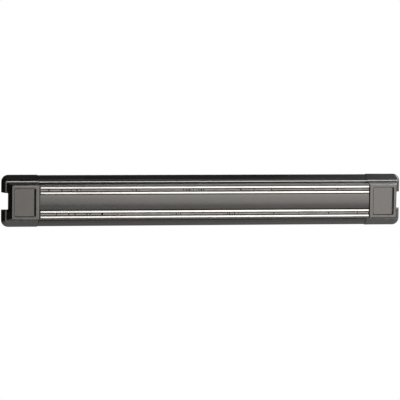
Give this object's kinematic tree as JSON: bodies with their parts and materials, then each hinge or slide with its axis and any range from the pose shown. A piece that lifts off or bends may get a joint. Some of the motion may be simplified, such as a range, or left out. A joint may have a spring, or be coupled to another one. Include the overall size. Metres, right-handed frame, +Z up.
{
  "type": "knife magnetic rack",
  "caption": "Wall-mounted magnetic knife rack: a black channel with ferrite rows between steel pole strips, notched end caps and pull-out screw covers.",
  "frame": {"origin": "centre of the channel's back face, on the wall plane, at mid length and mid height", "axes": "+X along the rack, to the right as seen from the front; +Y into the wall; +Z up; the pole edges face -Y"},
  "size_m": [0.355, 0.018, 0.0452],
  "materials": {
    "channel_plastic": "satin extruded black plastic",
    "cap_plastic": "satin moulded black plastic",
    "cover_plastic": "smooth satin black plastic, a little paler than the caps",
    "pole_steel": "ground bright edge",
    "ferrite": "sintered and ground, dark grey",
    "adhesive": "cured adhesive"
  },
  "bodies": {
    "rack": {"channel_body": "channel_plastic", "pole_upper_outer": "pole_steel", "pole_upper_inner": "pole_steel", "pole_lower_inner": "pole_steel", "pole_lower_outer": "pole_steel", "magnet_upper_1": "ferrite", "magnet_upper_2": "ferrite", "magnet_upper_3": "ferrite", "magnet_upper_4": "ferrite", "magnet_upper_5": "ferrite", "magnet_upper_6": "ferrite", "magnet_lower_1": "ferrite", "magnet_lower_2": "ferrite", "magnet_lower_3": "ferrite", "magnet_lower_4": "ferrite", "magnet_lower_5": "ferrite", "magnet_lower_6": "ferrite", "magnet_lower_7": "ferrite", "adhesive_bed_upper": "adhesive", "adhesive_bed_lower": "adhesive"},
    "cap_left": {"end_cap_left": "cap_plastic"},
    "cap_right": {"end_cap_right": "cap_plastic"},
    "cover_left": {"screw_cover_left": "cover_plastic"},
    "cover_right": {"screw_cover_right": "cover_plastic"}
  },
  "joints": [
    {"name": "cap_left_slide", "type": "slide", "parent": "rack", "child": "cap_left", "axis": [-1, 0, 0], "range_m": [0, 0.02]},
    {"name": "cap_right_slide", "type": "slide", "parent": "rack", "child": "cap_right", "axis": [1, 0, 0], "range_m": [0, 0.02]},
    {"name": "cover_left_pull", "type": "slide", "parent": "cap_left", "child": "cover_left", "axis": [0, -1, 0], "range_m": [0, 0.014]},
    {"name": "cover_right_pull", "type": "slide", "parent": "cap_right", "child": "cover_right", "axis": [0, -1, 0], "range_m": [0, 0.014]}
  ]
}
